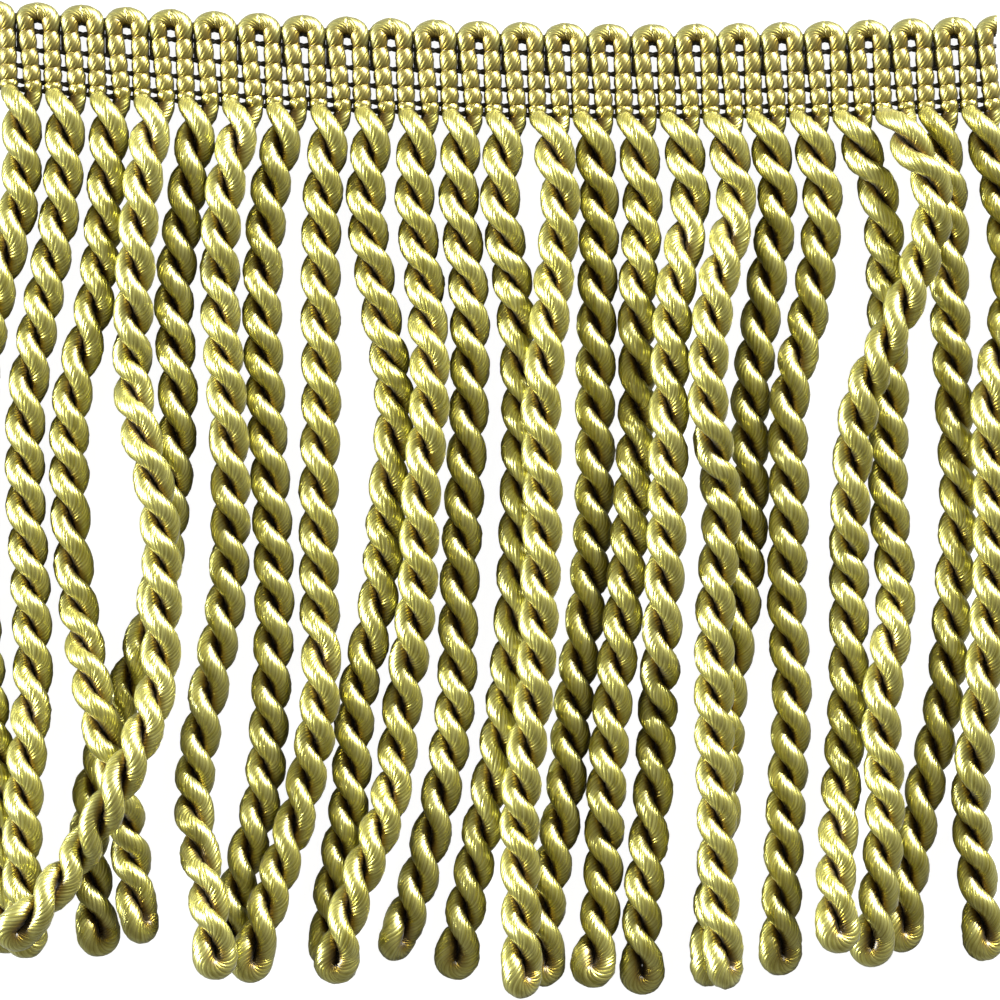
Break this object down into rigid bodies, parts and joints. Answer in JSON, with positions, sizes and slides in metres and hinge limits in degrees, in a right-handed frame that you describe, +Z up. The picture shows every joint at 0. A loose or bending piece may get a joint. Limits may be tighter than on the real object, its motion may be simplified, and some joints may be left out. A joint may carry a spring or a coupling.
{
  "type": "cord fringe trim",
  "caption": "Length of fringe trim lying flat: a heading of looped cord bound with rows of thread, and a row of twisted hairpin cord strands, some crossing each other.",
  "frame": {"origin": "on the flat underside of the heading, near the middle of its length", "axes": "+X along the trim, +Y from the strands towards the looped edge of the heading, +Z up from the surface the trim lies on"},
  "size_m": [0.1673, 0.1554, 0.0191],
  "materials": {
    "cord": "satin wrapped yarn, olive gold",
    "thread": "matt black sewing thread"
  },
  "bodies": {
    "root": {"heading": "cord", "fringe": "cord"}
  },
  "joints": []
}
